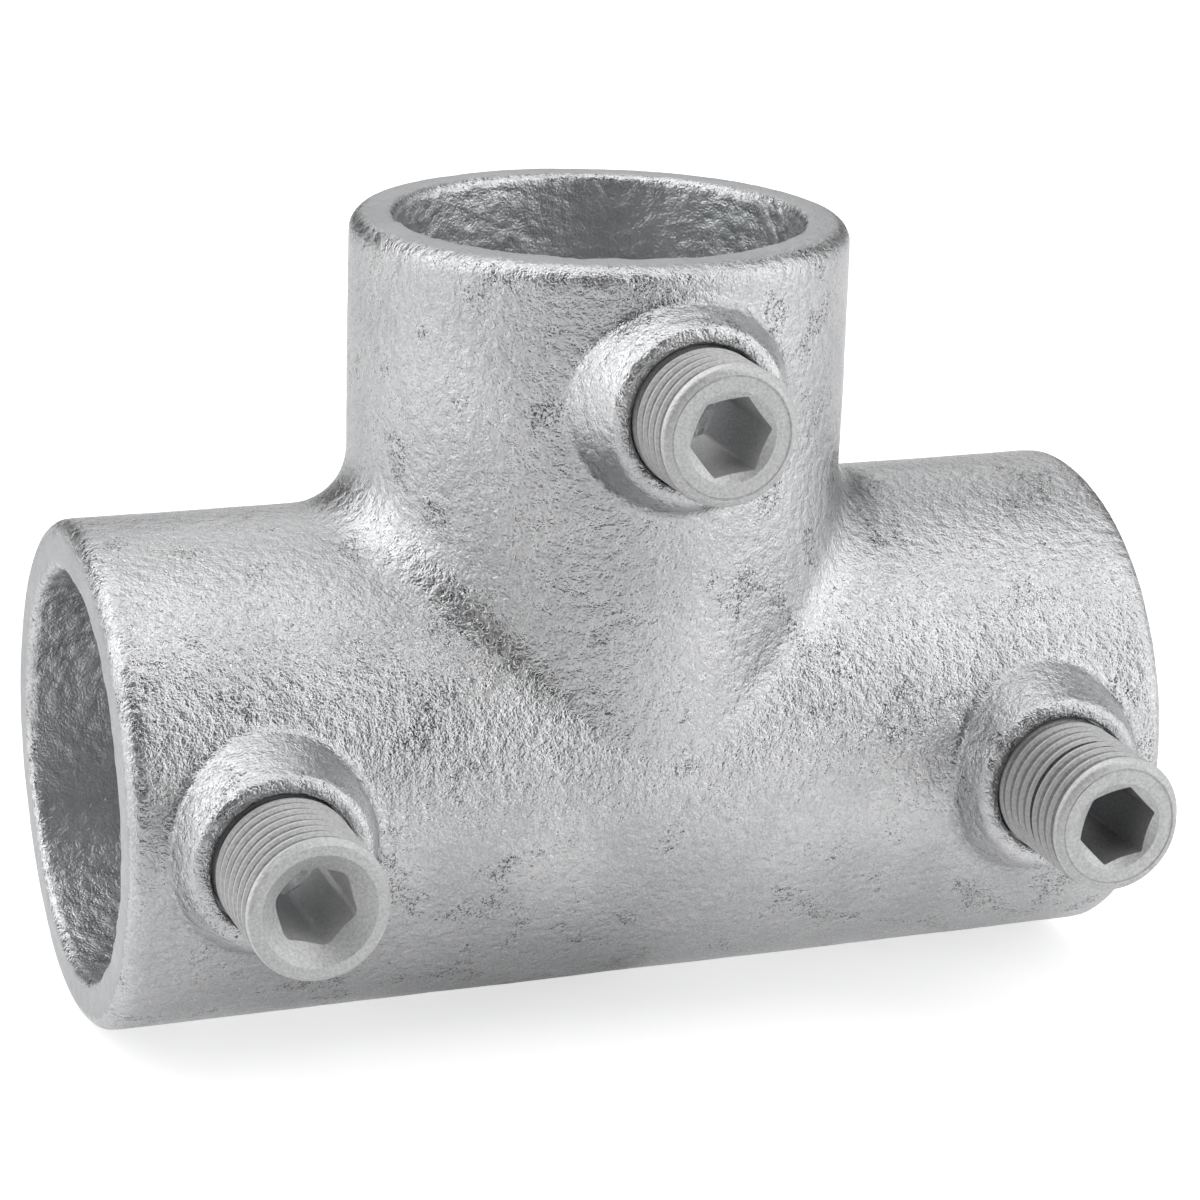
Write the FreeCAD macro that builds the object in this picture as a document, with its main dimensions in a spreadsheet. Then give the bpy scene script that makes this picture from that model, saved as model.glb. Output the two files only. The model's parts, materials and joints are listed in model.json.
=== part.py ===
import FreeCAD, Part
import math
import os

import Sketcher

# Tube clamp tee fitting, in millimetres.
# The origin is where the run axis and the branch axis cross.
# X is along the run, Z up the branch, and the set screws stand out towards -Y.

doc = FreeCAD.newDocument("TubeClampTee")
sheet = doc.addObject("Spreadsheet::Sheet", "Sizes")

sizes = [
    ("tubeDiameter", 48.3, "outside diameter of the tubes that it joins"),
    ("runClearance", 0.9, "bore of the run over its tube, on the diameter"),
    ("branchClearance", 0.5, "bore of the branch over its tube, on the diameter"),
    ("runLength", 130.0, "overall length of the run"),
    ("runWall", 5.9, "wall of the run"),
    ("branchHeight", 65.0, "run axis to the branch mouth"),
    ("branchWall", 5.6, "wall of the branch"),
    ("crotchRadius", 7.0, "sweep between run and branch"),
    ("mouthRounding", 2.2, "outer edge of each mouth"),
    ("mouthEdge", 0.5, "edge break where a bore meets its mouth"),
    ("bossFaceWidth", 1.8, "screw hole to the edge of the boss face, before that edge is rounded"),
    ("bossRise", 4.8, "boss face above the crest of its arm"),
    ("runBossInset", 4.26, "mouth of the run to the edge of its boss at the crest"),
    ("branchBossInset", 4.06, "mouth of the branch to the edge of its boss at the crest"),
    ("bossDraft", 21.0, "slope of the boss flank in degrees"),
    ("bossRounding", 1.5, "outer edge of the boss face"),
    ("bossBlend", 1.5, "sweep between boss and arm"),
    ("holeEdge", 0.3, "edge break where a screw hole meets its boss face"),
    ("screwDiameter", 16.6, "outside diameter of a set screw"),
    ("screwClearance", 0.3, "screw to hole, on the radius"),
    ("screwLength", 17.5, "set screw, end to end"),
    ("hexAcrossFlats", 8.6, "socket, right through the screw"),
    ("flatChamfer", 1.1, "chamfer at the flat end"),
    ("flatSinkWidth", 1.1, "countersink beyond the flats of the hexagon"),
    ("flatSinkSlope", 30.0, "slope of that countersink in degrees"),
    ("cupChamfer", 0.7, "chamfer at the cup end"),
    ("cupRim", 1.0, "flat rim between that chamfer and the cup"),
    ("cupSlope", 42.0, "slope of the cone of the cup in degrees"),
    ("leftStandOut", 14.0, "left screw beyond its boss"),
    ("rightStandOut", 14.6, "right screw beyond its boss"),
    ("branchStandOut", 8.9, "branch screw beyond its boss"),
    ("leftTurn", 45.0, "turn of the left screw in degrees"),
    ("rightTurn", 14.0, "turn of the right screw in degrees"),
    ("branchTurn", 8.0, "turn of the branch screw in degrees"),
]
for row, (alias, value, note) in enumerate(sizes, start=1):
    sheet.set(f"A{row}", alias)
    sheet.set(f"B{row}", str(value))
    sheet.set(f"C{row}", note)
    sheet.setAlias(f"B{row}", alias)
doc.recompute()


def bind(item, **expressions):
    for name, expression in expressions.items():
        item.setExpression(name, expression)


def newBody(name):
    body = doc.addObject("PartDesign::Body", name)
    body.Label = name
    return body


def attach(item, body, role, **offset):
    plane = next(f for f in body.Origin.OriginFeatures if f.Role == role)
    item.AttachmentSupport = [(plane, "")]
    item.MapMode = "FlatFace"
    for axis, expression in offset.items():
        item.setExpression(f".AttachmentOffset.Base.{axis}", expression)


def boundDiameter(sketch, circle, expression):
    sketch.addConstraint(Sketcher.Constraint("Coincident", circle, 3, -1, 1))
    place = sketch.addConstraint(Sketcher.Constraint("Diameter", circle, 2.0))
    sketch.renameConstraint(place, "diameter")
    sketch.setExpression("Constraints.diameter", expression)


def newCircle(body, name, role, diameter, **offset):
    sketch = body.newObject("Sketcher::SketchObject", name)
    attach(sketch, body, role, **offset)
    circle = sketch.addGeometry(Part.Circle(FreeCAD.Vector(0, 0, 0), FreeCAD.Vector(0, 0, 1), 1.0))
    boundDiameter(sketch, circle, diameter)
    return sketch


def newHexagon(body, name, role, acrossFlats):
    sketch = body.newObject("Sketcher::SketchObject", name)
    attach(sketch, body, role)
    angles = [math.radians(60 * k) for k in range(6)]
    corners = [FreeCAD.Vector(math.cos(angle), math.sin(angle), 0) for angle in angles]
    for k in range(6):
        sketch.addGeometry(Part.LineSegment(corners[k], corners[(k + 1) % 6]))
    circle = sketch.addGeometry(Part.Circle(FreeCAD.Vector(0, 0, 0), FreeCAD.Vector(0, 0, 1), 1.0), True)
    for k in range(6):
        sketch.addConstraint(Sketcher.Constraint("Coincident", k, 2, (k + 1) % 6, 1))
        sketch.addConstraint(Sketcher.Constraint("PointOnObject", k, 1, circle))
    for k in range(1, 6):
        sketch.addConstraint(Sketcher.Constraint("Equal", 0, k))
    sketch.addConstraint(Sketcher.Constraint("PointOnObject", 0, 1, -1))
    boundDiameter(sketch, circle, f"{acrossFlats} / cos(30deg)")
    return sketch


def pad(body, name, profile, length, symmetric=False):
    feature = body.newObject("PartDesign::Pad", name)
    feature.Profile = profile
    feature.SideType = "Symmetric" if symmetric else "One side"
    bind(feature, Length=length)
    doc.recompute()


def pocket(body, name, profile, length, symmetric=False, backwards=False):
    before = body.Shape.Volume
    feature = body.newObject("PartDesign::Pocket", name)
    feature.Profile = profile
    feature.SideType = "Symmetric" if symmetric else "One side"
    feature.Reversed = backwards
    bind(feature, Length=length)
    doc.recompute()
    assert body.Shape.Volume < before - 1, f"{name} cuts nothing"


def cone(body, name, kind, role, atPlane, atEnd, height, **offset):
    before = body.Shape.Volume if body.Tip else 0.0
    feature = body.newObject(f"PartDesign::{kind}Cone", name)
    attach(feature, body, role, **offset)
    bind(feature, Radius1=atPlane, Radius2=atEnd, Height=height)
    doc.recompute()
    assert abs(body.Shape.Volume - before) > 1, f"{name} changes nothing"


def dress(body, name, kind, chosen, **amounts):
    base = body.Tip
    edges = [f"Edge{k}" for k, edge in enumerate(base.Shape.Edges, start=1) if chosen(edge)]
    assert edges, f"{name} finds no edges"
    feature = body.newObject(f"PartDesign::{kind}", name)
    feature.Base = (base, edges)
    bind(feature, **amounts)
    doc.recompute()


def isCircleAt(edge, centre, radius):
    curve = edge.Curve
    if not isinstance(curve, Part.Circle):
        return False
    return abs(curve.Radius - radius) < 1e-4 and (curve.Center - centre).Length < 1e-4


# Run and branch of the casting, with the sweep between them

runBore = "(Sizes.tubeDiameter + Sizes.runClearance)"
branchBore = "(Sizes.tubeDiameter + Sizes.branchClearance)"
runCrest = f"({runBore} / 2 + Sizes.runWall)"
branchCrest = f"({branchBore} / 2 + Sizes.branchWall)"

casting = newBody("casting")
runCircle = newCircle(casting, "RunCircle", "YZ_Plane", f"2 * {runCrest}")
pad(casting, "Run", runCircle, "Sizes.runLength", symmetric=True)
branchCircle = newCircle(casting, "BranchCircle", "XY_Plane", f"2 * {branchCrest}")
pad(casting, "Branch", branchCircle, "Sizes.branchHeight")

runInside = (sheet.tubeDiameter + sheet.runClearance) / 2
branchInside = (sheet.tubeDiameter + sheet.branchClearance) / 2
mouths = [
    (FreeCAD.Vector(-sheet.runLength / 2, 0, 0), runInside, runInside + sheet.runWall),
    (FreeCAD.Vector(sheet.runLength / 2, 0, 0), runInside, runInside + sheet.runWall),
    (FreeCAD.Vector(0, 0, sheet.branchHeight), branchInside, branchInside + sheet.branchWall),
]


def isCrotch(edge):
    return isinstance(edge.Curve, Part.BSplineCurve)


def isMouthRim(edge):
    return any(isCircleAt(edge, centre, outside) for centre, _, outside in mouths)


def isBoreRim(edge):
    return any(isCircleAt(edge, centre, inside) for centre, inside, _ in mouths)


dress(casting, "Crotch", "Fillet", isCrotch, Radius="Sizes.crotchRadius")
dress(casting, "MouthRounding", "Fillet", isMouthRim, Radius="Sizes.mouthRounding")

# A screw boss on each arm: its axis across and up, and the crest of the arm that it stands on.
# It starts a fifth of the way down from the crest to the axis, so its foot is well inside the arm.

holeRadius = "(Sizes.screwDiameter / 2 + Sizes.screwClearance)"
bossFaceRadius = f"({holeRadius} + Sizes.bossFaceWidth)"
bossCrestRadius = f"({bossFaceRadius} + Sizes.bossRise * tan(Sizes.bossDraft * 1deg))"
runScrewPlace = f"Sizes.runLength / 2 - Sizes.runBossInset - {bossCrestRadius}"
branchScrewPlace = f"Sizes.branchHeight - Sizes.branchBossInset - {bossCrestRadius}"
bosses = {
    "Left": (f"-({runScrewPlace})", "0 mm", runCrest),
    "Right": (runScrewPlace, "0 mm", runCrest),
    "Branch": ("0 mm", branchScrewPlace, branchCrest),
}
for name, (across, up, crest) in bosses.items():
    cone(
        casting, f"{name}Boss", "Additive", "XZ_Plane",
        atPlane=f"{bossCrestRadius} + {crest} / 5 * tan(Sizes.bossDraft * 1deg)",
        atEnd=bossFaceRadius,
        height=f"{crest} / 5 + Sizes.bossRise",
        x=across, y=up, z=f"{crest} * 4 / 5",
    )
bossFaces = [face.CenterOfMass for face in casting.Shape.Faces
             if isinstance(face.Surface, Part.Plane) and face.normalAt(0, 0).y < -0.99]
holeInside = sheet.screwDiameter / 2 + sheet.screwClearance
footReach = holeInside + sheet.bossFaceWidth + sheet.bossRise * math.tan(math.radians(sheet.bossDraft))


def isBossFoot(edge):
    middle = edge.CenterOfMass
    near = any(math.hypot(middle.x - face.x, middle.z - face.z) < footReach for face in bossFaces)
    return near and middle.y < 0 and isinstance(edge.Curve, Part.BSplineCurve)


def isBossRim(edge):
    return isinstance(edge.Curve, Part.Circle) and any((edge.Curve.Center - face).Length < 1e-4 for face in bossFaces)


def isHoleMouth(edge):
    return any(isCircleAt(edge, face, holeInside) for face in bossFaces)


dress(casting, "BossBlend", "Fillet", isBossFoot, Radius="Sizes.bossBlend")
dress(casting, "BossRounding", "Fillet", isBossRim, Radius="Sizes.bossRounding")

# Bores, then the screw holes

runBoreCircle = newCircle(casting, "RunBoreCircle", "YZ_Plane", runBore)
pocket(casting, "RunBore", runBoreCircle, "Sizes.runLength", symmetric=True)
branchBoreCircle = newCircle(casting, "BranchBoreCircle", "XY_Plane", branchBore)
pocket(casting, "BranchBore", branchBoreCircle, "Sizes.branchHeight", backwards=True)
dress(casting, "MouthEdge", "Chamfer", isBoreRim, Size="Sizes.mouthEdge")

for name, (across, up, crest) in bosses.items():
    hole = newCircle(casting, f"{name}HoleCircle", "XZ_Plane", f"2 * {holeRadius}", x=across, y=up)
    pocket(casting, f"{name}Hole", hole, f"{crest} + Sizes.bossRise", backwards=True)
dress(casting, "HoleEdge", "Chamfer", isHoleMouth, Size="Sizes.holeEdge")

# Set screws: each is drawn with its outer end at its own origin and the rest of it towards +Y

flatEnd = {
    "chamfer": "Sizes.flatChamfer",
    "mouth": "Sizes.hexAcrossFlats / 2 + Sizes.flatSinkWidth",
    "slope": "Sizes.flatSinkSlope",
}
cupEnd = {
    "chamfer": "Sizes.cupChamfer",
    "mouth": "Sizes.screwDiameter / 2 - Sizes.cupChamfer - Sizes.cupRim",
    "slope": "Sizes.cupSlope",
}


def newScrew(name, boss, standOut, turn, outerEnd, innerEnd):
    screw = newBody(name)
    radius = "Sizes.screwDiameter / 2"
    shank = f"Sizes.screwLength - {outerEnd['chamfer']} - {innerEnd['chamfer']}"
    cone(
        screw, f"{name}_inner_chamfer", "Additive", "XZ_Plane",
        atPlane=f"{radius} - {innerEnd['chamfer']}", atEnd=radius,
        height=innerEnd["chamfer"], z="-Sizes.screwLength",
    )
    barrel = newCircle(
        screw, f"{name}_circle", "XZ_Plane", "Sizes.screwDiameter", z=f"{innerEnd['chamfer']} - Sizes.screwLength",
    )
    pad(screw, f"{name}_shank", barrel, shank)
    cone(
        screw, f"{name}_outer_chamfer", "Additive", "XZ_Plane",
        atPlane=radius, atEnd=f"{radius} - {outerEnd['chamfer']}",
        height=outerEnd["chamfer"], z=f"-{outerEnd['chamfer']}",
    )
    outerDepth = f"({outerEnd['mouth']}) * tan({outerEnd['slope']} * 1deg)"
    cone(
        screw, f"{name}_outer_sink", "Subtractive", "XZ_Plane",
        atPlane="0 mm", atEnd=outerEnd["mouth"], height=outerDepth, z=f"-({outerDepth})",
    )
    innerDepth = f"({innerEnd['mouth']}) * tan({innerEnd['slope']} * 1deg)"
    cone(
        screw, f"{name}_inner_sink", "Subtractive", "XZ_Plane",
        atPlane=innerEnd["mouth"], atEnd="0 mm", height=innerDepth, z="-Sizes.screwLength",
    )
    hexagon = newHexagon(screw, f"{name}_hexagon", "XZ_Plane", "Sizes.hexAcrossFlats")
    pocket(screw, f"{name}_socket", hexagon, "Sizes.screwLength")
    across, up, crest = bosses[boss]
    screw.Placement.Rotation = FreeCAD.Rotation(FreeCAD.Vector(0, -1, 0), 1)
    screw.setExpression(".Placement.Base.x", across)
    screw.setExpression(".Placement.Base.y", f"-({crest} + Sizes.bossRise + {standOut})")
    screw.setExpression(".Placement.Base.z", up)
    screw.setExpression(".Placement.Rotation.Angle", f"{turn} * 1deg")
    doc.recompute()
    return screw


pieces = [
    casting,
    newScrew("left_set_screw", "Left", "Sizes.leftStandOut", "Sizes.leftTurn", cupEnd, flatEnd),
    newScrew("right_set_screw", "Right", "Sizes.rightStandOut", "Sizes.rightTurn", flatEnd, cupEnd),
    newScrew("branch_set_screw", "Branch", "Sizes.branchStandOut", "Sizes.branchTurn", flatEnd, cupEnd),
]

# Every object and every piece is checked before anything is written

doc.recompute()
for item in doc.Objects:
    assert not {"Invalid", "Error"} & set(item.State), f"{item.Name} failed"
os.makedirs("parts", exist_ok=True)
for piece in pieces:
    assert not piece.Shape.isNull() and piece.Shape.isValid(), f"{piece.Label} is not valid"
    assert len(piece.Shape.Solids) == 1, f"{piece.Label} is not one solid"
for piece in pieces:
    piece.Shape.exportStep(f"parts/{piece.Label}.step")
    box = piece.Shape.optimalBoundingBox()
    corners = [round(value, 2) for value in (box.XMin, box.XMax, box.YMin, box.YMax, box.ZMin, box.ZMax)]
    print(piece.Label, round(piece.Shape.Volume), "mm3", corners)
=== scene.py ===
import json
import math

import bpy
from mathutils import Matrix, Vector


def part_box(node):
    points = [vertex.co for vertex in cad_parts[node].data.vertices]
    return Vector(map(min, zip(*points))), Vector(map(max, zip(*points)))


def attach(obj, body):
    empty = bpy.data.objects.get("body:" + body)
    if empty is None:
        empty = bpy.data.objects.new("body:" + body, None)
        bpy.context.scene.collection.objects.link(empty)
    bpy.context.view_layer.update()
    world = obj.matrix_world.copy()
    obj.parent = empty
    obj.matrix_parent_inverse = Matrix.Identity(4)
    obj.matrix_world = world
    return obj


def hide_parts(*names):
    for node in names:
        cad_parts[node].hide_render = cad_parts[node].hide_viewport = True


mm = 0.001
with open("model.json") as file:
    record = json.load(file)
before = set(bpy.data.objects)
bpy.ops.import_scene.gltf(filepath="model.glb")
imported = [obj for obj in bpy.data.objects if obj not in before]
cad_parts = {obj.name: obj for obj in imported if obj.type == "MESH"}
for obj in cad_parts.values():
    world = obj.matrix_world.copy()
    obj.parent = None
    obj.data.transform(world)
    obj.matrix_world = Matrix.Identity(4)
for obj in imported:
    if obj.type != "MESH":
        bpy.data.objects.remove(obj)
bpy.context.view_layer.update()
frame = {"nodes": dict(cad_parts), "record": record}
print("frame loaded:", sorted(frame["nodes"]))


# small helpers


def toLinear(hexColour):
    channels = [int(hexColour[k:k + 2], 16) / 255 for k in (1, 3, 5)]
    return [c / 12.92 if c < 0.04045 else ((c + 0.055) / 1.055) ** 2.4 for c in channels] + [1.0]


def selectOnly(piece):
    bpy.ops.object.select_all(action="DESELECT")
    piece.select_set(True)
    bpy.context.view_layer.objects.active = piece


def applyModifiers(piece):
    selectOnly(piece)
    for name in [modifier.name for modifier in piece.modifiers]:
        bpy.ops.object.modifier_apply(modifier=name)


def cutWith(piece, tool, operation):
    modifier = piece.modifiers.new(operation.lower(), "BOOLEAN")
    modifier.operation = operation
    modifier.object = tool
    modifier.solver = "EXACT"
    applyModifiers(piece)
    bpy.data.objects.remove(tool)


# casting: the solid's own shape, with the waviness of a sand casting

castingLook = {
    "seam": 0.002 * mm,         # points of the solid closer than this become one
    "cell": 0.9 * mm,           # size of the skin's faces
    "relaxShare": 0.5,
    "relaxRounds": 3,
    "waveSize": 16 * mm,        # slow waves left by the sand mould
    "waveHeight": 0.22 * mm,
    "lumpSize": 5 * mm,         # shorter ones, from the zinc
    "lumpHeight": 0.10 * mm,
    "rimReach": 2.0 * mm,       # ragged inner edges of the three mouths
    "rimWaveSize": 4.5 * mm,
    "rimWaveHeight": 0.55 * mm,
}
bossCap = {
    "holeRadius": 8.55 * mm,    # edge of the tapped hole, close round the screw
    "holeEdge": 0.3 * mm,
    "edgeMiddle": 0.3,          # middle point of that small edge, as a share of it
    "faceRadius": 10.45 * mm,   # where face and flank would meet if the rounding weren't there
    "rounding": 1.5 * mm,
    "roundingSteps": 6,
    "draft": 21,                # slope of the flank in degrees
    "flankSteps": 10,
    "proud": 0.06 * mm,         # over the solid's own boss, which it covers
    "foot": 26.5 * mm,          # end of the flank, from the axis of the bore, and inside the wall
    "footInset": 1 * mm,
    "root": 25.5 * mm,          # where the closed underside lies
    "steps": 120,
}


def wave(piece, name, size, height, group=""):
    texture = bpy.data.textures.new(name, "CLOUDS")
    texture.noise_scale = size
    texture.noise_depth = 1
    modifier = piece.modifiers.new(name, "DISPLACE")
    modifier.texture = texture
    modifier.texture_coords = "LOCAL"
    modifier.strength = height
    modifier.mid_level = 0.5
    modifier.vertex_group = group


def makeCastingSkin(look):
    node = frame["nodes"]["casting"]
    skin = bpy.data.objects.new("casting_skin", node.data.copy())
    bpy.context.scene.collection.objects.link(skin)
    selectOnly(skin)
    bpy.ops.object.mode_set(mode="EDIT")
    bpy.ops.mesh.select_all(action="SELECT")
    bpy.ops.mesh.remove_doubles(threshold=look["seam"])
    bpy.ops.object.mode_set(mode="OBJECT")

    remesh = skin.modifiers.new("cells", "REMESH")
    remesh.mode = "VOXEL"
    remesh.voxel_size = look["cell"]
    relax = skin.modifiers.new("relax", "SMOOTH")
    relax.factor = look["relaxShare"]
    relax.iterations = look["relaxRounds"]
    wrap = skin.modifiers.new("onto the solid", "SHRINKWRAP")
    wrap.target = node
    applyModifiers(skin)
    return skin


def roughenSkin(skin, look):
    low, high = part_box("casting")
    rims = skin.vertex_groups.new(name="rims")
    for vertex in skin.data.vertices:
        place = vertex.co
        fromRunEnd = min(abs(place.x - low.x), abs(place.x - high.x))
        fromBranchEnd = abs(place.z - high.z)
        runRim = math.hypot(fromRunEnd, math.hypot(place.y, place.z) - boreRadius["run"])
        branchRim = math.hypot(fromBranchEnd, math.hypot(place.x, place.y) - boreRadius["branch"])
        near = 1 - min(runRim, branchRim) / look["rimReach"]
        if near > 0:
            rims.add([vertex.index], near, "REPLACE")
    wave(skin, "mouldWaves", look["waveSize"], look["waveHeight"])
    wave(skin, "zincLumps", look["lumpSize"], look["lumpHeight"])
    wave(skin, "rimWaves", look["rimWaveSize"], look["rimWaveHeight"], "rims")
    applyModifiers(skin)
    bpy.ops.object.shade_smooth()


def crownOf(across, up):
    # height of the boss face round one screw hole, read from the solid
    near = [
        vertex.co.y for vertex in frame["nodes"]["casting"].data.vertices
        if math.hypot(vertex.co.x - across, vertex.co.z - up) < bossCap["faceRadius"]
    ]
    return -min(near)


def bossOutline(cap, crown):
    # radius and height of each circle, from the hole over the face and down the flank
    inner, edge, rounding = cap["holeRadius"], cap["holeEdge"], cap["rounding"]
    slope = math.radians(cap["draft"])
    flat = cap["faceRadius"] - rounding * math.tan((math.pi / 2 - slope) / 2)
    corner = cap["edgeMiddle"] * edge
    outline = [(inner, crown - edge), (inner + corner, crown - corner), (inner + edge, crown)]
    for k in range(cap["roundingSteps"] + 1):
        turn = math.pi / 2 - k / cap["roundingSteps"] * (math.pi / 2 - slope)
        outline.append((flat + rounding * math.cos(turn), crown - rounding + rounding * math.sin(turn)))
    radius, height = outline[-1]
    for k in range(1, cap["flankSteps"] + 1):
        down = k / cap["flankSteps"] * (height - cap["foot"])
        outline.append((radius + down * math.tan(slope), height - down))
    outline.append((outline[-1][0] - cap["footInset"], cap["root"]))
    return outline


def makeBossCap(cap, across, up):
    # drawn upright as a chain of circles, then turned to the front
    radius, height = cap["holeRadius"], cap["root"]
    bpy.ops.object.select_all(action="DESELECT")
    bpy.ops.mesh.primitive_circle_add(vertices=cap["steps"], radius=radius, location=(0, 0, height))
    collar = bpy.context.object
    bpy.ops.object.transform_apply(location=True, rotation=True, scale=True)
    bpy.ops.object.mode_set(mode="EDIT")
    bpy.ops.mesh.select_mode(type="EDGE")
    bpy.ops.mesh.select_all(action="SELECT")
    for nextRadius, nextHeight in bossOutline(cap, crownOf(across, up) + cap["proud"]):
        bpy.ops.mesh.extrude_region_move(TRANSFORM_OT_translate={"value": (0, 0, nextHeight - height)})
        grow = nextRadius / radius
        bpy.ops.transform.resize(value=(grow, grow, 1), center_override=(0, 0, nextHeight))
        radius, height = nextRadius, nextHeight
    bpy.ops.mesh.select_all(action="DESELECT")
    bpy.ops.mesh.select_non_manifold()
    bpy.ops.mesh.bridge_edge_loops()
    bpy.ops.mesh.select_all(action="SELECT")
    bpy.ops.mesh.normals_make_consistent(inside=False)
    bpy.ops.object.mode_set(mode="OBJECT")
    collar.rotation_euler = (math.pi / 2, 0, 0)
    collar.location = (across, 0, up)
    bpy.ops.object.transform_apply(location=True, rotation=True, scale=True)
    bpy.ops.object.shade_smooth()
    return collar


mounts = {mount["name"]: mount for mount in frame["record"]["mounts"]}
boreRadius = {
    "run": mounts["run_bore"]["dims"]["r_mm"] * mm,
    "branch": mounts["branch_bore"]["dims"]["r_mm"] * mm,
}
castingSkin = makeCastingSkin(castingLook)
for node in ("left_set_screw", "right_set_screw", "branch_set_screw"):
    low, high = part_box(node)
    cutWith(castingSkin, makeBossCap(bossCap, (low.x + high.x) / 2, (low.z + high.z) / 2), "UNION")
roughenSkin(castingSkin, castingLook)
print("casting skin:", sum(len(face.vertices) - 2 for face in castingSkin.data.polygons), "triangles")


# set screws: a helical thread cut to a round-edged blank, then the sink of each end and the socket

screwSizes = {
    "radius": 8.3 * mm,
    "length": 17.5 * mm,
    "pitch": 1.8 * mm,
    "threadDepth": 0.60 * mm,
    "crestWidth": 0.36 * mm,
    "innerFlank": 0.375 * mm,   # how far the flanks reach along the axis
    "outerFlank": 0.615 * mm,
    "acrossFlats": 8.6 * mm,
    "steps": 120,
    "bevelSteps": 4,            # of the rounded ends and of the socket's corners
    "spareTurns": 3,            # of thread, cut away past the ends
    "cutPlace": 0.537,          # pitches past each end, where no ring of points lies
    "seam": 0.001 * mm,         # points closer than this become one
    "slack": 0.01 * mm,         # between surfaces that would otherwise lie in one place
    "endFacing": 0.99,          # only the flat end itself faces along the axis this much
    "sinkScale": 1.25,          # the sink's cone goes on past the face, so that it cuts clean
    "sharpFrom": 28,            # edges turn sharp above this angle in degrees
}

# rounding of the edge, then the sink's radius at the face and its slope in degrees
flatEnd = {"rounding": 1.1 * mm, "mouth": 5.4 * mm, "slope": 30, "turnedLine": True}
cupEnd = {"rounding": 0.7 * mm, "mouth": 6.6 * mm, "slope": 42, "turnedLine": False}

# fine line that the lathe tool left where the rounding meets the face, as insets: width and depth
lineInsets = [(0.10 * mm, -0.14 * mm), (0.08 * mm, 0), (0.12 * mm, 0.12 * mm)]

# the left screw is fitted the wrong way round; turn of the socket in degrees, rounding of its corners
screwLooks = {
    "left_set_screw": {
        "name": "left_screw_threaded", "outer": cupEnd, "inner": flatEnd, "turn": 45, "corner": 0.9 * mm,
    },
    "right_set_screw": {
        "name": "right_screw_threaded", "outer": flatEnd, "inner": cupEnd, "turn": 14, "corner": 0.25 * mm,
    },
    "branch_set_screw": {
        "name": "branch_screw_threaded", "outer": flatEnd, "inner": cupEnd, "turn": 8, "corner": 0.25 * mm,
    },
}


def makeThreadedRod(name, sizes):
    crest, root = sizes["radius"], sizes["radius"] - sizes["threadDepth"]
    bpy.ops.object.select_all(action="DESELECT")
    bpy.ops.mesh.primitive_plane_add(size=mm)
    rod = bpy.context.object
    rod.name = name
    bpy.ops.object.mode_set(mode="EDIT")
    bpy.ops.mesh.select_mode(type="VERT")
    bpy.ops.mesh.select_all(action="SELECT")
    bpy.ops.mesh.merge(type="CENTER")
    bpy.ops.transform.translate(value=(crest, 0, 0))
    rootWidth = sizes["pitch"] - sizes["crestWidth"] - sizes["innerFlank"] - sizes["outerFlank"]
    halfFlank = ((root - crest) / 2, 0, sizes["outerFlank"] / 2)
    profile = [
        (0, 0, sizes["crestWidth"]),
        halfFlank,
        halfFlank,
        (0, 0, rootWidth),
        (crest - root, 0, sizes["innerFlank"]),
    ]
    for step in profile:
        bpy.ops.mesh.extrude_region_move(TRANSFORM_OT_translate={"value": step})
    bpy.ops.object.mode_set(mode="OBJECT")
    turns = math.ceil(sizes["length"] / sizes["pitch"]) + sizes["spareTurns"]
    helix = rod.modifiers.new("helix", "SCREW")
    helix.axis = "Z"
    helix.angle = math.tau
    helix.screw_offset = sizes["pitch"]
    helix.iterations = turns
    helix.steps = sizes["steps"]
    helix.render_steps = sizes["steps"]
    helix.use_merge_vertices = True
    helix.merge_threshold = sizes["seam"]
    applyModifiers(rod)
    bpy.ops.object.mode_set(mode="EDIT")
    bpy.ops.mesh.select_all(action="SELECT")
    bpy.ops.mesh.remove_doubles(threshold=sizes["seam"])
    middle = (turns + 1) * sizes["pitch"] / 2
    reach = sizes["length"] / 2 + sizes["cutPlace"] * sizes["pitch"]
    for side in (-1, 1):
        bpy.ops.mesh.select_all(action="SELECT")
        bpy.ops.mesh.bisect(
            plane_co=(0, 0, middle + side * reach), plane_no=(0, 0, side), use_fill=True, clear_outer=True,
        )
    bpy.ops.mesh.select_all(action="SELECT")
    bpy.ops.mesh.normals_make_consistent(inside=False)
    bpy.ops.transform.translate(value=(0, 0, -middle))
    bpy.ops.object.mode_set(mode="OBJECT")
    return rod


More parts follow.
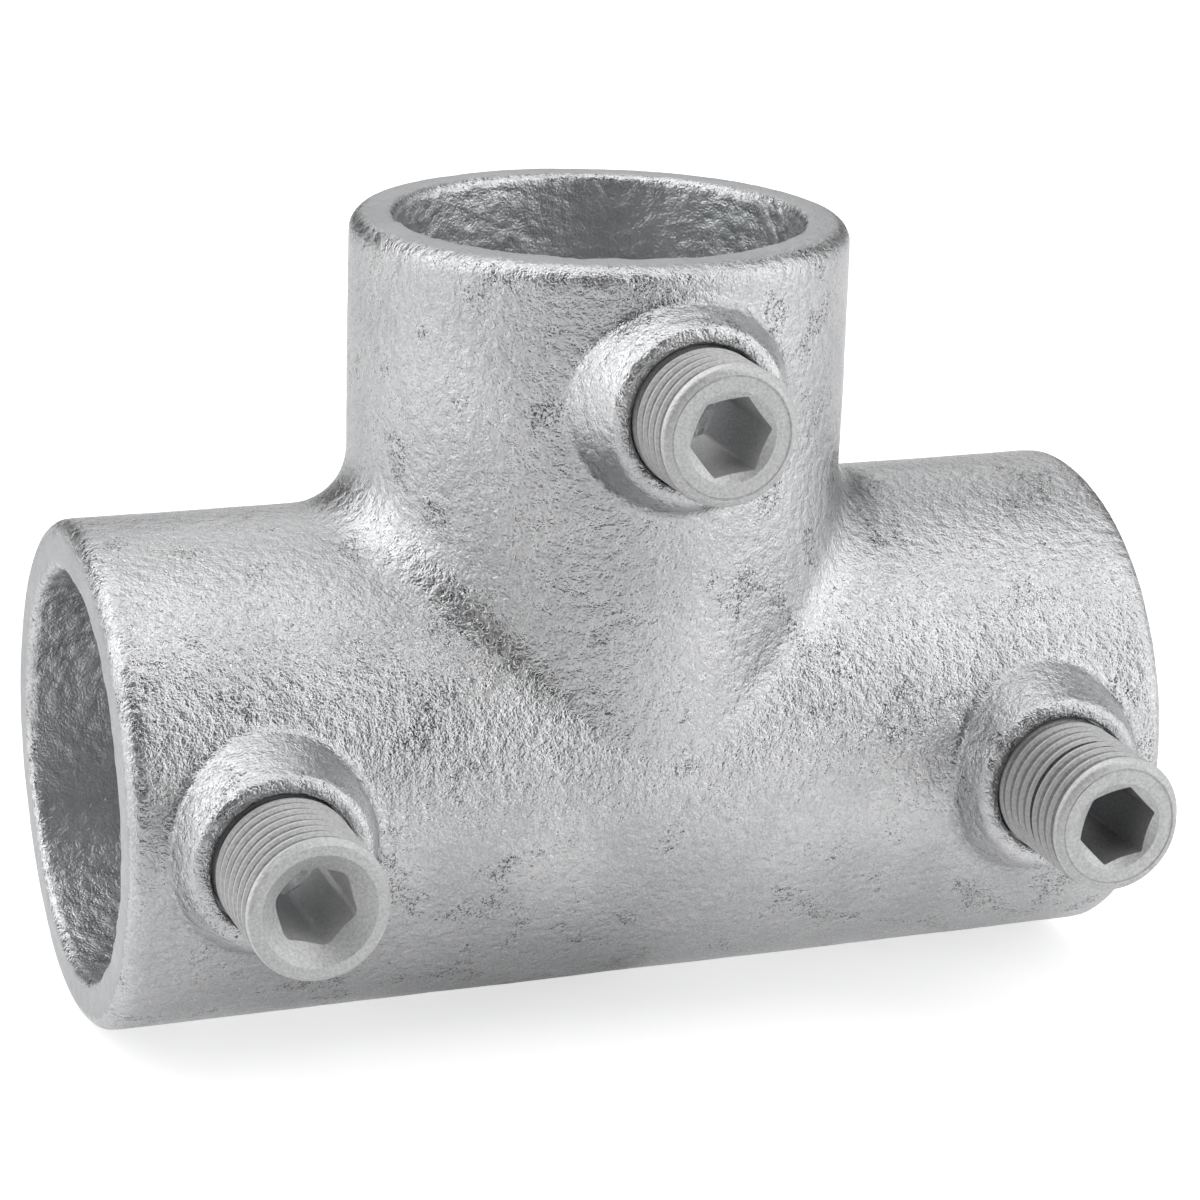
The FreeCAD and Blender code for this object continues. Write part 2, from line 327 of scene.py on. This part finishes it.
def makeBlank(sizes, outer, inner):
    bpy.ops.object.select_all(action="DESELECT")
    bpy.ops.mesh.primitive_cylinder_add(
        vertices=sizes["steps"], radius=sizes["radius"] + sizes["slack"], depth=sizes["length"],
    )
    blank = bpy.context.object
    bpy.ops.object.mode_set(mode="EDIT")
    for side, end in ((1, outer), (-1, inner)):
        bpy.ops.mesh.select_mode(type="EDGE")
        bpy.ops.mesh.select_all(action="DESELECT")
        bpy.ops.object.mode_set(mode="OBJECT")
        for edge in blank.data.edges:
            heights = [blank.data.vertices[k].co.z * side for k in edge.vertices]
            edge.select = min(heights) > sizes["length"] / 2 - sizes["slack"]
        bpy.ops.object.mode_set(mode="EDIT")
        bpy.ops.mesh.bevel(offset=end["rounding"], segments=sizes["bevelSteps"], affect="EDGES")
        if end["turnedLine"]:
            bpy.ops.mesh.select_mode(type="FACE")
            bpy.ops.mesh.select_all(action="DESELECT")
            bpy.ops.object.mode_set(mode="OBJECT")
            for face in blank.data.polygons:
                face.select = face.normal.z * side > sizes["endFacing"]
            bpy.ops.object.mode_set(mode="EDIT")
            for width, depth in lineInsets:
                bpy.ops.mesh.inset(thickness=width, depth=depth)
    bpy.ops.object.mode_set(mode="OBJECT")
    return blank


def makeSink(sizes, end, side):
    radius = sizes["sinkScale"] * end["mouth"]
    depth = radius * math.tan(math.radians(end["slope"]))
    tip = sizes["length"] / 2 - depth / sizes["sinkScale"]
    bpy.ops.object.select_all(action="DESELECT")
    bpy.ops.mesh.primitive_cone_add(
        vertices=sizes["steps"], radius1=0, radius2=radius, depth=depth,
        location=(0, 0, side * (tip + depth / 2)), rotation=(0 if side > 0 else math.pi, 0, 0),
    )
    sink = bpy.context.object
    bpy.ops.object.transform_apply(location=True, rotation=True, scale=True)
    return sink


def makeSocket(sizes, turn, corner):
    # hexagon key's way through, longer than the screw
    bpy.ops.object.select_all(action="DESELECT")
    bpy.ops.mesh.primitive_cylinder_add(
        vertices=6, radius=sizes["acrossFlats"] / math.sqrt(3), depth=2 * sizes["length"],
        rotation=(0, 0, math.radians(turn) - math.pi / 2),
    )
    socket = bpy.context.object
    for edge in socket.data.edges:
        ends = [socket.data.vertices[k].co.z for k in edge.vertices]
        edge.select = abs(ends[0] - ends[1]) > sizes["length"]
    bpy.ops.object.mode_set(mode="EDIT")
    bpy.ops.mesh.select_mode(type="EDGE")
    bpy.ops.mesh.bevel(offset=corner, segments=sizes["bevelSteps"], affect="EDGES")
    bpy.ops.object.mode_set(mode="OBJECT")
    return socket


def makeScrew(node, look, sizes):
    screw = makeThreadedRod(look["name"], sizes)
    cutWith(screw, makeBlank(sizes, look["outer"], look["inner"]), "INTERSECT")
    cutWith(screw, makeSink(sizes, look["outer"], 1), "DIFFERENCE")
    cutWith(screw, makeSink(sizes, look["inner"], -1), "DIFFERENCE")
    cutWith(screw, makeSocket(sizes, look["turn"], look["corner"]), "DIFFERENCE")
    low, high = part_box(node)
    screw.rotation_euler = (math.pi / 2, 0, 0)
    screw.location = (low + high) / 2
    bpy.ops.object.transform_apply(location=True, rotation=True, scale=True)
    bpy.ops.object.shade_smooth_by_angle(angle=math.radians(sizes["sharpFrom"]))
    return screw


screws = {node: makeScrew(node, look, screwSizes) for node, look in screwLooks.items()}
print("screws:", {name: len(screw.data.polygons) for name, screw in screws.items()})


# nodes of the materials


def addNode(tree, kind, settings=None, values=None, links=None):
    node = tree.nodes.new(kind)
    for name, value in (settings or {}).items():
        setattr(node, name, value)
    for name, value in (values or {}).items():
        node.inputs[name].default_value = value
    for name, source in (links or {}).items():
        tree.links.new(source, node.inputs[name])
    return node


def addMath(tree, operation, values, links):
    return addNode(tree, "ShaderNodeMath", {"operation": operation}, values, links).outputs[0]


def addNoise(tree, place, size, detail, roughness, distortion=0.0):
    values = {"Scale": 1 / size, "Detail": detail, "Roughness": roughness, "Distortion": distortion}
    return addNode(tree, "ShaderNodeTexNoise", values=values, links={"Vector": place}).outputs["Fac"]


def addRange(tree, value, start, end, low=0.0, high=1.0, curve="LINEAR"):
    values = {"From Min": start, "From Max": end, "To Min": low, "To Max": high}
    ramp = addNode(tree, "ShaderNodeMapRange", {"interpolation_type": curve}, values, {"Value": value})
    return ramp.outputs["Result"]


def addTones(tree, value, ends, dark, light):
    ramp = addNode(tree, "ShaderNodeValToRGB", links={"Fac": value})
    first, last = ramp.color_ramp.elements
    first.position, last.position = ends
    first.color, last.color = toLinear(dark), toLinear(light)
    return ramp.outputs["Color"]


def addBump(tree, height, depth, under=None):
    links = {"Height": height} if under is None else {"Height": height, "Normal": under}
    bump = addNode(tree, "ShaderNodeBump", values={"Strength": 1.0, "Distance": depth}, links=links)
    return bump.outputs["Normal"]


def newMaterial(name):
    material = bpy.data.materials.new(name)
    material.use_nodes = True
    tree = material.node_tree
    tree.nodes.clear()
    return material, tree


def giveMaterials(piece, *materials):
    piece.data.materials.clear()
    for material in materials:
        piece.data.materials.append(material)


# zinc of the casting

zincOutside = {
    "dull": "#b3b4b6",
    "clean": "#d0d0d1",
    "pit": "#56585b",
    "pitShare": (0.665, 0.505),  # speck height that shows as a pit, outside and inside the patches
    "grainSize": 0.30 * mm,     # crystals and sand marks, drawn a little coarse so that the render shows them
    "grainDepth": 0.15 * mm,
    "peelSize": 1.2 * mm,
    "peelDepth": 0.25 * mm,
    "roughness": (0.23, 0.36),
}
zincFace = {
    "dull": "#a7a8aa",
    "clean": "#b8b9ba",
    "pit": "#7b7d80",
    "pitShare": (0.74, 0.66),
    "grainSize": 0.30 * mm,
    "grainDepth": 0.12 * mm,
    "peelSize": 1.6 * mm,
    "peelDepth": 0.24 * mm,
    "roughness": (0.34, 0.44),
}
zincBore = {
    "dull": "#c0c2c4",
    "clean": "#d8d9da",
    "pit": "#797b7e",
    "pitShare": (0.74, 0.66),
    "grainSize": 0.34 * mm,
    "grainDepth": 0.14 * mm,
    "peelSize": 2.0 * mm,
    "peelDepth": 0.45 * mm,
    "roughness": (0.36, 0.52),
}
zincPattern = {
    "driftSize": 13 * mm,       # slow change of the tone
    "toneEnds": (0.38, 0.62),
    "speckSize": 0.42 * mm,
    "speckEdge": 0.08,          # from clean zinc to full pit
    "patchSize": 6.5 * mm,      # patches in which the pits crowd
    "patchEnds": (0.48, 0.66),
    # painted shade in the creases: where it starts, and how dark it gets
    "creaseEnds": (0.45, 0.482),    # Pointiness of a hollow, from full crease to none
    "creaseShadeStrength": 0.7,
    "peelEnds": (0.3, 0.7),
}


def makeGalvanisedIron(name, zinc):
    # hot-dip zinc over sand-cast iron: pale grey metal, a fine grain that sparkles, clusters of dark pits,
    # and painted shade in the hollow creases
    material, tree = newMaterial(name)
    place = addNode(tree, "ShaderNodeTexCoord").outputs["Object"]
    grain = addNoise(tree, place, zinc["grainSize"], detail=1.5, roughness=0.6)
    peel = addNoise(tree, place, zinc["peelSize"], detail=1.0, roughness=0.5)
    drift = addNoise(tree, place, zincPattern["driftSize"], detail=3.0, roughness=0.6)
    speck = addNoise(tree, place, zincPattern["speckSize"], detail=4.0, roughness=0.65, distortion=1.4)
    patch = addNoise(tree, place, zincPattern["patchSize"], detail=2.0, roughness=0.55)

    # pits lie thick inside the patches and thin outside them
    crowd = addRange(tree, patch, *zincPattern["patchEnds"], *zinc["pitShare"])
    over = addMath(tree, "SUBTRACT", {}, {0: speck, 1: crowd})
    pit = addRange(tree, over, 0.0, zincPattern["speckEdge"])

    # painted shade: the zinc is painted darker in the hollow creases, as round the feet of the bosses
    bend = addNode(tree, "ShaderNodeNewGeometry").outputs["Pointiness"]
    creaseShade = addRange(tree, bend, *zincPattern["creaseEnds"], zincPattern["creaseShadeStrength"], 0.0)
    # the dark share holds both the real pits and the painted crease shade
    dark = addMath(tree, "MAXIMUM", {}, {0: pit, 1: creaseShade})

    # the tone drifts slowly, and the grain's tops are a little cleaner than its hollows
    tone = addNode(
        tree, "ShaderNodeMix", {"data_type": "FLOAT"}, values={0: 0.5}, links={2: drift, 3: grain},
    ).outputs[0]
    shade = addTones(tree, tone, zincPattern["toneEnds"], zinc["dull"], zinc["clean"])
    colour = addNode(
        tree, "ShaderNodeMix", {"data_type": "RGBA"}, values={7: toLinear(zinc["pit"])},
        links={0: dark, 6: shade},
    ).outputs[2]
    rough = addRange(tree, peel, *zincPattern["peelEnds"], *zinc["roughness"])
    coarse = addBump(tree, peel, zinc["peelDepth"])
    fine = addBump(tree, grain, zinc["grainDepth"], coarse)
    shader = addNode(
        tree, "ShaderNodeBsdfPrincipled", values={"Metallic": 1.0},
        links={"Base Color": colour, "Roughness": rough, "Normal": fine},
    )
    addNode(tree, "ShaderNodeOutputMaterial", links={"Surface": shader.outputs["BSDF"]})
    return material


# zinc flake coat of the screws

coatPattern = {"toothSize": 0.35 * mm, "toothDepth": 0.08 * mm, "toneEnds": (0.3, 0.7)}
coats = {
    "coated_steel": {"dark": "#c2c2c3", "light": "#dcdcdc"},
    # painted shade: the thread's grooves and lower flanks darker, its upper flanks a little darker than the
    # crests
    "thread_groove_shade": {"dark": "#79797a", "light": "#979797"},
    "thread_flank_shade": {"dark": "#a4a4a5", "light": "#c0c0c0"},
    # painted shade of one deeper groove on the right screw
    "deep_groove_shade": {"dark": "#303030", "light": "#545453"},
    # painted shade: the flat ends a little darker than the crests
    "turned_face_shade": {"dark": "#b2b3b4", "light": "#d0d0d0"},
    # painted light and shade in the sockets: the left one lighter than the coat, the right one darker, the
    # branch one a little darker
    "socket_of_left_set_screw": {"dark": "#d0d0d0", "light": "#e8e8e8"},
    "socket_of_right_set_screw": {"dark": "#98989a", "light": "#b4b4b4"},
    "socket_of_branch_set_screw": {"dark": "#bababb", "light": "#d4d4d4"},
}


def makeZincPlatedSteel(name, coat):
    # matt zinc flake coating over turned steel: even light grey, fine tooth, no mirror
    material, tree = newMaterial(name)
    place = addNode(tree, "ShaderNodeTexCoord").outputs["Object"]
    tooth = addNoise(tree, place, coatPattern["toothSize"], detail=2.0, roughness=0.6)
    colour = addTones(tree, tooth, coatPattern["toneEnds"], coat["dark"], coat["light"])
    bump = addBump(tree, tooth, coatPattern["toothDepth"])
    shader = addNode(
        tree, "ShaderNodeBsdfPrincipled", values={"Metallic": 0.6, "Roughness": 0.5},
        links={"Base Color": colour, "Normal": bump},
    )
    addNode(tree, "ShaderNodeOutputMaterial", links={"Surface": shader.outputs["BSDF"]})
    return material


galvanisedIron = makeGalvanisedIron("galvanised_cast_iron", zincOutside)
galvanisedBore = makeGalvanisedIron("galvanised_bore_wall", zincBore)
galvanisedFace = makeGalvanisedIron("galvanised_end_face", zincFace)
coated = {name: makeZincPlatedSteel("zinc_flake_" + name, coat) for name, coat in coats.items()}


# which faces get which material

castingSlots = ["outside", "bore", "end"]
castingZones = {
    "boreReach": 0.5 * mm,      # faces this near a bore's wall belong to it
    "mouthReach": 0.9 * mm,     # and this near a mouth to its end face or its rounding
    "endFacing": 0.97,
}
screwSlots = ["crest", "groove", "socket", "face", "flank", "darkened_groove"]
screwZones = {
    "threadFrom": 0.1 * mm,     # depth under the crests
    "threadTo": 0.8 * mm,
    "endReach": 1.3 * mm,       # the rounded ends keep the plain coat
    "wallFacing": 0.97,
    "faceFacing": 0.8,
    "shadedGroovePiece": "right_set_screw",
    "shadedGrooveFrom": -44.2 * mm,    # its one groove painted darker, as the shade of a deeper groove, along Y
    "shadedGrooveTo": -42.4 * mm,
}


def castingZone(face, high, zones):
    # bore walls and end faces are duller than the outside
    place = face.center
    inRun = math.hypot(place.y, place.z) < boreRadius["run"] + zones["boreReach"]
    inBranch = math.hypot(place.x, place.y) < boreRadius["branch"] + zones["boreReach"]
    inBore = inRun or (inBranch and place.z > boreRadius["run"] / 2)
    nearMouth = abs(place.x) > high.x - zones["mouthReach"] or place.z > high.z - zones["mouthReach"]
    if nearMouth and max(abs(face.normal.x), face.normal.z) > zones["endFacing"]:
        return "end"
    return "bore" if inBore and not nearMouth else "outside"


def screwZone(face, node, middle, sizes, zones):
    # painted shade: thread grooves are darker than the crests, with the flanks between
    fromAxis = math.hypot(face.center.x - middle.x, face.center.z - middle.z)
    upright = math.hypot(face.normal.x, face.normal.z)    # 1 on a wall, 0 on an end
    if fromAxis < sizes["acrossFlats"] / math.sqrt(3) and upright > zones["wallFacing"]:
        return "socket"
    inThread = sizes["radius"] - zones["threadTo"] < fromAxis < sizes["radius"] - zones["threadFrom"]
    nearEnd = abs(face.center.y - middle.y) > sizes["length"] / 2 - zones["endReach"]
    if nearEnd or not inThread:
        return "face" if upright < zones["faceFacing"] else "crest"
    if fromAxis >= sizes["radius"] - sizes["threadDepth"] / 2:
        return "flank"
    # one groove of the right screw gets the painted shade of a deeper groove
    inShadedGroove = node == zones["shadedGroovePiece"] and zones["shadedGrooveFrom"] < face.center.y < zones["shadedGrooveTo"]
    return "darkened_groove" if inShadedGroove else "groove"


giveMaterials(castingSkin, galvanisedIron, galvanisedBore, galvanisedFace)
giveMaterials(frame["nodes"]["casting"], galvanisedIron)
low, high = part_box("casting")
for face in castingSkin.data.polygons:
    face.material_index = castingSlots.index(castingZone(face, high, castingZones))
for node, screw in screws.items():
    giveMaterials(
        screw, coated["coated_steel"], coated["thread_groove_shade"], coated["socket_of_" + node],
        coated["turned_face_shade"], coated["thread_flank_shade"], coated["deep_groove_shade"],
    )
    giveMaterials(frame["nodes"][node], coated["coated_steel"])
    low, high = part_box(node)
    for face in screw.data.polygons:
        zone = screwZone(face, node, (low + high) / 2, screwSizes, screwZones)
        face.material_index = screwSlots.index(zone)

bodyOf = {node: body for body, nodes in frame["record"]["behaviour"]["bodies"].items() for node in nodes}
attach(castingSkin, bodyOf["casting"])
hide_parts("casting")
for node, screw in screws.items():
    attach(screw, bodyOf[node])
    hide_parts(node)
print("materials and bodies set")


# camera, as the photograph was taken

viewpoint = {
    "place": (-156.99 * mm, -417.99 * mm, 157.08 * mm),
    "azimuth": -20.77,
    "elevation": 17.46,
    "roll": 1.757,
    "lens": 113.85,
    "sensor": 36,
    "nearest": 10 * mm,
}


def makeCamera(view):
    lens = bpy.data.cameras.new("camera")
    lens.sensor_width = view["sensor"]
    lens.sensor_fit = "HORIZONTAL"
    lens.lens = view["lens"]
    lens.clip_start = view["nearest"]
    camera = bpy.data.objects.new("camera", lens)
    bpy.context.scene.collection.objects.link(camera)
    turn = (
        Matrix.Rotation(math.radians(view["azimuth"]), 4, "Z")
        @ Matrix.Rotation(math.radians(90 - view["elevation"]), 4, "X")
        @ Matrix.Rotation(math.radians(view["roll"]), 4, "Z")
    )
    camera.matrix_world = Matrix.Translation(view["place"]) @ turn
    bpy.context.scene.camera = camera


makeCamera(viewpoint)


# floor, daylight and lamp

white = (1, 1, 1, 1)
studio = {
    "floorSize": 8,             # in metres, so that its edge is out of sight
    "floorGap": 0.3 * mm,       # under the casting
    "floorWhite": "#dedede",
    "floorSeen": 0.62,
    # what metal mirrors of the floor, brighter to the left and the right than in front
    "floorMirrored": 0.17,
    "floorSides": [
        {"toward": (-105, 0), "reach": 46, "change": 0.32},
        {"toward": (58, 0), "reach": 52, "change": 0.20},
    ],
    # the room is dark behind the camera and bright on both sides and overhead:
    # azimuth from the front to the right, elevation and reach, all in degrees
    "daylight": 0.04,
    "sides": [
        {"toward": (-100, 5), "reach": 50, "change": 1.06},
        {"toward": (-100, 38), "reach": 42, "change": 1.25},
        {"toward": (-140, 70), "reach": 47, "change": 1.42},
        {"toward": (60, 66), "reach": 42, "change": 0.86},
        {"toward": (46, 6), "reach": 45, "change": 1.6},
        {"toward": (86, 18), "reach": 42, "change": 0.98},
        {"toward": (160, 26), "reach": 27, "change": 1.05},
    ],
    "fill": {"place": (0.45, -0.45, 0.85), "target": (0, 0, 15 * mm), "size": 0.4, "power": 0.9},
}


def addSides(tree, direction, level, sides):
    # a plain level of light, and more of it towards each side
    strength = addMath(tree, "ADD", {0: level, 1: 0.0}, {})
    for side in sides:
        azimuth, elevation = (math.radians(angle) for angle in side["toward"])
        across = math.cos(elevation)
        toward = (math.sin(azimuth) * across, -math.cos(azimuth) * across, math.sin(elevation))
        along = addNode(
            tree, "ShaderNodeVectorMath", {"operation": "DOT_PRODUCT"}, {1: toward}, {0: direction},
        ).outputs["Value"]
        near = addRange(tree, along, math.cos(math.radians(side["reach"])), 1.0, curve="SMOOTHSTEP")
        strength = addMath(tree, "MULTIPLY_ADD", {1: side["change"]}, {0: near, 2: strength})
    return strength


def makeFloor(look):
    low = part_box("casting")[0]
    bpy.ops.object.select_all(action="DESELECT")
    bpy.ops.mesh.primitive_plane_add(size=look["floorSize"], location=(0, 0, low.z - look["floorGap"]))
    floor = bpy.context.object
    floor.name = "floor"
    material, tree = newMaterial("pale_floor")
    matt = addNode(tree, "ShaderNodeBsdfDiffuse", values={"Color": toLinear(look["floorWhite"])})
    rays = addNode(tree, "ShaderNodeLightPath").outputs
    through = addMath(tree, "MAXIMUM", {}, {0: rays["Is Glossy Ray"], 1: rays["Is Transmission Ray"]})
    place = addNode(tree, "ShaderNodeTexCoord").outputs["Object"]
    outwards = addNode(
        tree, "ShaderNodeVectorMath", {"operation": "NORMALIZE"}, links={0: place},
    ).outputs["Vector"]
    around = addSides(tree, outwards, look["floorMirrored"], look["floorSides"])
    mirrored = addMath(tree, "MULTIPLY", {}, {0: through, 1: around})
    strength = addMath(tree, "MULTIPLY_ADD", {1: look["floorSeen"]}, {0: rays["Is Camera Ray"], 2: mirrored})
    glow = addNode(tree, "ShaderNodeEmission", values={"Color": white}, links={"Strength": strength})
    both = addNode(tree, "ShaderNodeAddShader", links={0: matt.outputs[0], 1: glow.outputs[0]})
    addNode(tree, "ShaderNodeOutputMaterial", links={"Surface": both.outputs[0]})
    giveMaterials(floor, material)


def makeDaylight(look):
    world = bpy.data.worlds.new("daylight")
    bpy.context.scene.world = world
    world.use_nodes = True
    room = world.node_tree
    room.nodes.clear()
    around = addNode(room, "ShaderNodeTexCoord").outputs["Generated"]
    strength = addSides(room, around, look["daylight"], look["sides"])
    seen = addNode(room, "ShaderNodeLightPath").outputs["Is Camera Ray"]
    soft = addNode(room, "ShaderNodeBackground", values={"Color": white}, links={"Strength": strength})
    plain = addNode(room, "ShaderNodeBackground", values={"Color": white, "Strength": 1.0})
    mix = addNode(room, "ShaderNodeMixShader", links={0: seen, 1: soft.outputs[0], 2: plain.outputs[0]})
    addNode(room, "ShaderNodeOutputWorld", links={"Surface": mix.outputs[0]})


def makeFill(look):
    lamp = bpy.data.lights.new("fill", "AREA")
    lamp.shape = "SQUARE"
    lamp.size = look["size"]
    lamp.energy = look["power"]
    holder = bpy.data.objects.new("fill", lamp)
    bpy.context.scene.collection.objects.link(holder)
    holder.location = look["place"]
    holder.rotation_euler = (holder.location - Vector(look["target"])).to_track_quat("Z", "Y").to_euler()


makeFloor(studio)
makeDaylight(studio)
makeFill(studio["fill"])
bpy.context.scene.view_settings.view_transform = "Standard"
print("camera and studio set")
